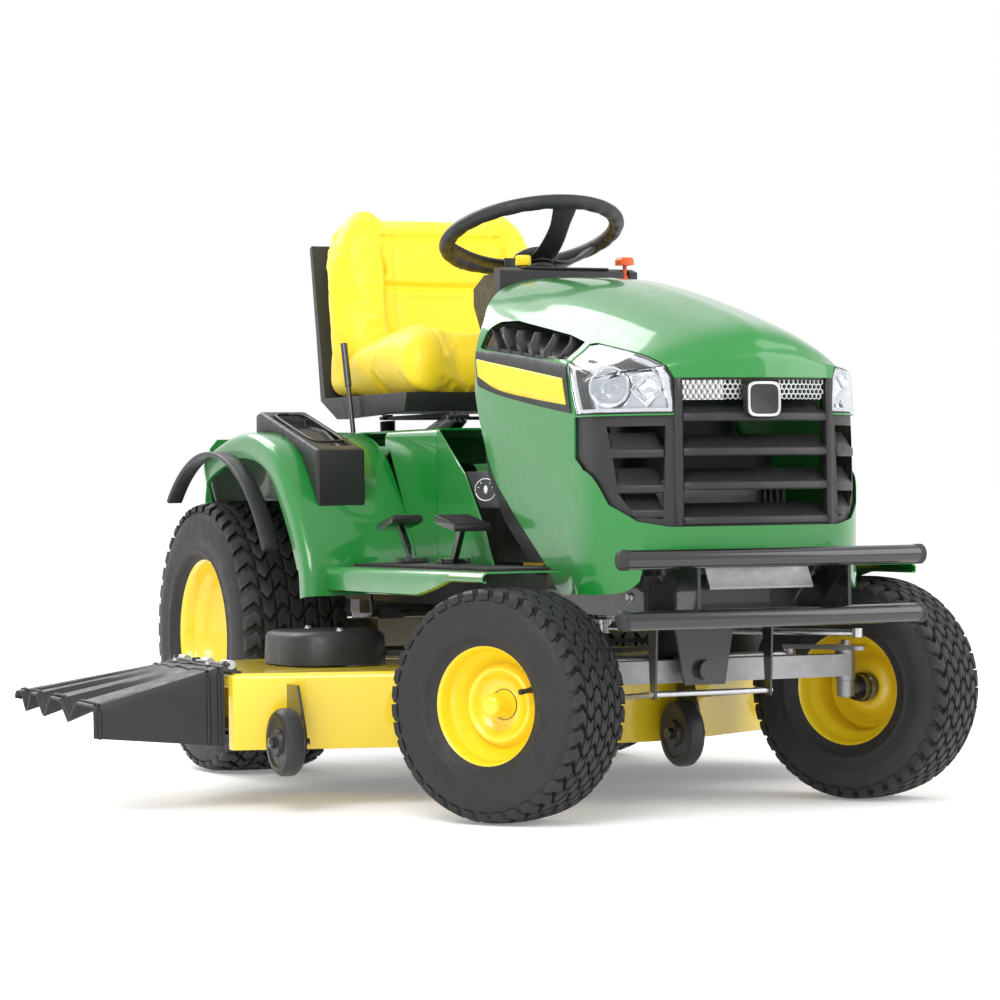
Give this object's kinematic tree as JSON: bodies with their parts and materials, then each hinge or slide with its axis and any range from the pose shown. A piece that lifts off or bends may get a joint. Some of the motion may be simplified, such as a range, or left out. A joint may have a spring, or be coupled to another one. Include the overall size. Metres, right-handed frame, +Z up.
{
  "type": "riding lawn mower",
  "caption": "Riding lawn mower with tilting hood, steered front wheels, floating mower deck with side discharge chute and a tilting seat.",
  "frame": {"origin": "on the ground, at the middle of the bounding box's base", "axes": "+Z up; the mower drives towards -Y; +X is the driver's left, and the discharge chute reaches towards -X"},
  "size_m": [1.722, 1.8984, 1.1556],
  "materials": {
    "green_paint": "glossy enamel",
    "yellow_paint": "glossy enamel",
    "black_paint": "gloss black enamel",
    "frame_black": "satin black",
    "black_plastic": "satin moulded, fine grain",
    "yellow_plastic": "smooth",
    "zinc": "zinc plated",
    "cast_grey": "sand cast",
    "rubber": "matt rubber",
    "grip_rubber": "soft matt",
    "seat_vinyl": "embossed vinyl, soft sheen",
    "lens": "clear",
    "reflector": "bright",
    "orange_plastic": "smooth",
    "belt_rubber": "fabric-covered",
    "spring_steel": "blackened"
  },
  "bodies": {
    "root": {"frame_rails": "frame_black", "frame_crossmembers": "frame_black", "bumper": "black_paint", "transaxle": "cast_grey", "engine_block": "cast_grey", "blower_housing": "black_plastic", "muffler": "zinc", "dash_tower": "black_plastic", "steering_column": "frame_black", "fender_deck": "green_paint", "fender_flares": "black_plastic", "console_boxes": "black_plastic", "foot_mats": "grip_rubber", "seat_pivot": "frame_black", "seat_springs": "spring_steel", "battery": "black_plastic", "fuel_tank": "black_plastic"},
    "hood": {"hood_shell": "green_paint", "grille": "black_plastic", "headlight_lenses": "lens", "headlight_reflectors": "reflector", "side_stripes": "yellow_plastic"},
    "steering": {"steering_wheel": "grip_rubber"},
    "pinion": {"steering_pinion": "zinc"},
    "sector": {"sector_gear": "zinc"},
    "drag": {"drag_link": "zinc"},
    "axle": {"front_axle": "frame_black"},
    "spindle_right": {"spindle_r": "frame_black"},
    "spindle_left": {"spindle_l": "frame_black"},
    "tie": {"tie_rod": "zinc"},
    "wheel_fr": {"rim_fr": "yellow_paint", "tyre_fr": "rubber"},
    "wheel_fl": {"rim_fl": "yellow_paint", "tyre_fl": "rubber"},
    "wheel_rr": {"rim_rr": "yellow_paint", "tyre_rr": "rubber"},
    "wheel_rl": {"rim_rl": "yellow_paint", "tyre_rl": "rubber"},
    "seat": {"seat_cushion": "seat_vinyl", "seat_back": "seat_vinyl", "seat_shell": "black_plastic"},
    "forward": {"forward_pedal": "frame_black"},
    "reverse": {"reverse_pedal": "frame_black"},
    "brake": {"brake_pedal": "frame_black"},
    "deck": {"deck_shell": "yellow_paint", "spindle_housings": "cast_grey", "deck_belt": "belt_rubber", "deck_brackets": "yellow_paint"},
    "blade_1": {"blade_1": "zinc"},
    "blade_2": {"blade_2": "zinc"},
    "blade_3": {"blade_3": "zinc"},
    "gauge_1": {"gauge_wheel_1": "black_plastic"},
    "gauge_2": {"gauge_wheel_2": "black_plastic"},
    "gauge_3": {"gauge_wheel_3": "black_plastic"},
    "chute": {"chute": "black_plastic"},
    "link": {"front_lift_link": "zinc"},
    "lever": {"lift_lever": "frame_black"},
    "throttle": {"throttle_lever": "orange_plastic"},
    "knob": {"blade_knob": "yellow_plastic"},
    "key": {"ignition_key": "zinc"}
  },
  "joints": [
    {"name": "hood_tilt", "type": "hinge", "parent": "root", "child": "hood", "pos_m": [0.174, -0.86275, 0.448], "axis": [1, 0, 0], "range_deg": [0, 50]},
    {"name": "steer", "type": "hinge", "parent": "root", "child": "steering", "pos_m": [0.174, 0.03125, 1.066], "axis": [0, 0.314, 0.9494], "range_deg": [-360, 0]},
    {"name": "pinion_turn", "type": "hinge", "parent": "root", "child": "pinion", "pos_m": [0.174, -0.15575, 0.33], "axis": [0, 0, 1], "range_deg": [-361, 1]},
    {"name": "sector_turn", "type": "hinge", "parent": "root", "child": "sector", "pos_m": [0.174, -0.23075, 0.325], "axis": [0, 0, 1], "range_deg": [-60.5, 0.5]},
    {"name": "drag_link_turn", "type": "hinge", "parent": "sector", "child": "drag", "pos_m": [0.15204, -0.31271, 0.312], "axis": [0, 0, 1], "range_deg": [-0.5, 60.5]},
    {"name": "axle_rock", "type": "hinge", "parent": "root", "child": "axle", "pos_m": [0.174, -0.61275, 0.25], "axis": [0, 1, 0], "range_deg": [-2, 2]},
    {"name": "steer_right", "type": "hinge", "parent": "axle", "child": "spindle_right", "pos_m": [-0.141, -0.61275, 0.25], "axis": [0, 0, 1], "range_deg": [-60.5, 0.5]},
    {"name": "steer_left", "type": "hinge", "parent": "axle", "child": "spindle_left", "pos_m": [0.489, -0.61275, 0.25], "axis": [0, 0, 1], "range_deg": [-60.5, 0.5]},
    {"name": "tie_rod_turn", "type": "hinge", "parent": "spindle_right", "child": "tie", "pos_m": [-0.14703, -0.51231, 0.27], "axis": [0, 0, 1], "range_deg": [-1, 70]},
    {"name": "spin_fr", "type": "hinge", "parent": "spindle_right", "child": "wheel_fr", "pos_m": [-0.20162, -0.64775, 0.203], "axis": [0.866, 0.5, 0], "continuous": true},
    {"name": "spin_fl", "type": "hinge", "parent": "spindle_left", "child": "wheel_fl", "pos_m": [0.54962, -0.57775, 0.203], "axis": [0.866, 0.5, 0], "continuous": true},
    {"name": "spin_rr", "type": "hinge", "parent": "root", "child": "wheel_rr", "pos_m": [-0.194, 0.63725, 0.278], "axis": [1, 0, 0], "continuous": true},
    {"name": "spin_rl", "type": "hinge", "parent": "root", "child": "wheel_rl", "pos_m": [0.542, 0.63725, 0.278], "axis": [1, 0, 0], "continuous": true},
    {"name": "seat_tilt", "type": "hinge", "parent": "root", "child": "seat", "pos_m": [0.174, 0.10225, 0.715], "axis": [1, 0, 0], "range_deg": [0, 30]},
    {"name": "forward_press", "type": "hinge", "parent": "root", "child": "forward", "pos_m": [-0.126, -0.25275, 0.439], "axis": [1, 0, 0], "range_deg": [0, 22], "stiffness_Nm_per_rad": 12, "springref_deg": -5.73},
    {"name": "reverse_press", "type": "hinge", "parent": "root", "child": "reverse", "pos_m": [-0.146, -0.11075, 0.439], "axis": [1, 0, 0], "range_deg": [-18, 0], "stiffness_Nm_per_rad": 12, "springref_deg": 5.73},
    {"name": "brake_press", "type": "hinge", "parent": "root", "child": "brake", "pos_m": [0.479, -0.31275, 0.439], "axis": [1, 0, 0], "range_deg": [0, 25], "stiffness_Nm_per_rad": 12, "springref_deg": -5.73},
    {"name": "deck_lift", "type": "slide", "parent": "root", "child": "deck", "axis": [0, 0, 1], "range_m": [-0.055, 0.025]},
    {"name": "blade_spin_1", "type": "hinge", "parent": "deck", "child": "blade_1", "pos_m": [-0.271, 0.06725, 0.2], "axis": [0, 0, 1], "continuous": true},
    {"name": "blade_spin_2", "type": "hinge", "parent": "deck", "child": "blade_2", "pos_m": [0.174, -0.18275, 0.2], "axis": [0, 0, 1], "continuous": true},
    {"name": "blade_spin_3", "type": "hinge", "parent": "deck", "child": "blade_3", "pos_m": [0.619, 0.06725, 0.2], "axis": [0, 0, 1], "continuous": true},
    {"name": "gauge_spin_1", "type": "hinge", "parent": "deck", "child": "gauge_1", "pos_m": [-0.474, -0.29475, 0.127], "axis": [1, 0, 0], "continuous": true},
    {"name": "gauge_spin_2", "type": "hinge", "parent": "deck", "child": "gauge_2", "pos_m": [0.734, -0.22775, 0.127], "axis": [1, 0, 0], "continuous": true},
    {"name": "gauge_spin_3", "type": "hinge", "parent": "deck", "child": "gauge_3", "pos_m": [0.218, -0.49075, 0.127], "axis": [1, 0, 0], "continuous": true},
    {"name": "chute_flip", "type": "hinge", "parent": "deck", "child": "chute", "pos_m": [-0.541, -0.04475, 0.262], "axis": [0, 1, 0], "range_deg": [0, 80]},
    {"name": "link_swing", "type": "hinge", "parent": "root", "child": "link", "pos_m": [0.174, -0.68775, 0.212], "axis": [1, 0, 0], "range_deg": [-13, 6.5]},
    {"name": "lever_swing", "type": "hinge", "parent": "root", "child": "lever", "pos_m": [0.174, 0.29225, 0.328], "axis": [1, 0, 0], "range_deg": [-13, 27]},
    {"name": "throttle_swing", "type": "hinge", "parent": "root", "child": "throttle", "pos_m": [0.296, -0.12675, 0.975], "axis": [1, 0, 0], "range_deg": [-14, 14]},
    {"name": "blade_knob_pull", "type": "slide", "parent": "root", "child": "knob", "axis": [0, 0, 1], "range_m": [0, 0.012]},
    {"name": "key_turn", "type": "hinge", "parent": "root", "child": "key", "pos_m": [0.098, -0.03275, 0.995], "axis": [0, 0, 1], "range_deg": [0, 70]}
  ],
  "couplings": [
    {"joint": "pinion_turn", "follows": "steer", "ratio": 1},
    {"joint": "sector_turn", "follows": "steer", "ratio": 0.16667},
    {"joint": "drag_link_turn", "follows": "steer", "ratio": -0.16667},
    {"joint": "steer_right", "follows": "steer", "ratio": 0.16667},
    {"joint": "steer_left", "follows": "steer", "ratio": 0.16667},
    {"joint": "tie_rod_turn", "follows": "steer", "ratio": -0.19217},
    {"joint": "blade_spin_1", "follows": "blade_spin_2", "ratio": 1},
    {"joint": "blade_spin_3", "follows": "blade_spin_2", "ratio": 1},
    {"joint": "link_swing", "follows": "deck_lift", "rad_per_m": 3.92},
    {"joint": "lever_swing", "follows": "deck_lift", "rad_per_m": -8.3}
  ]
}
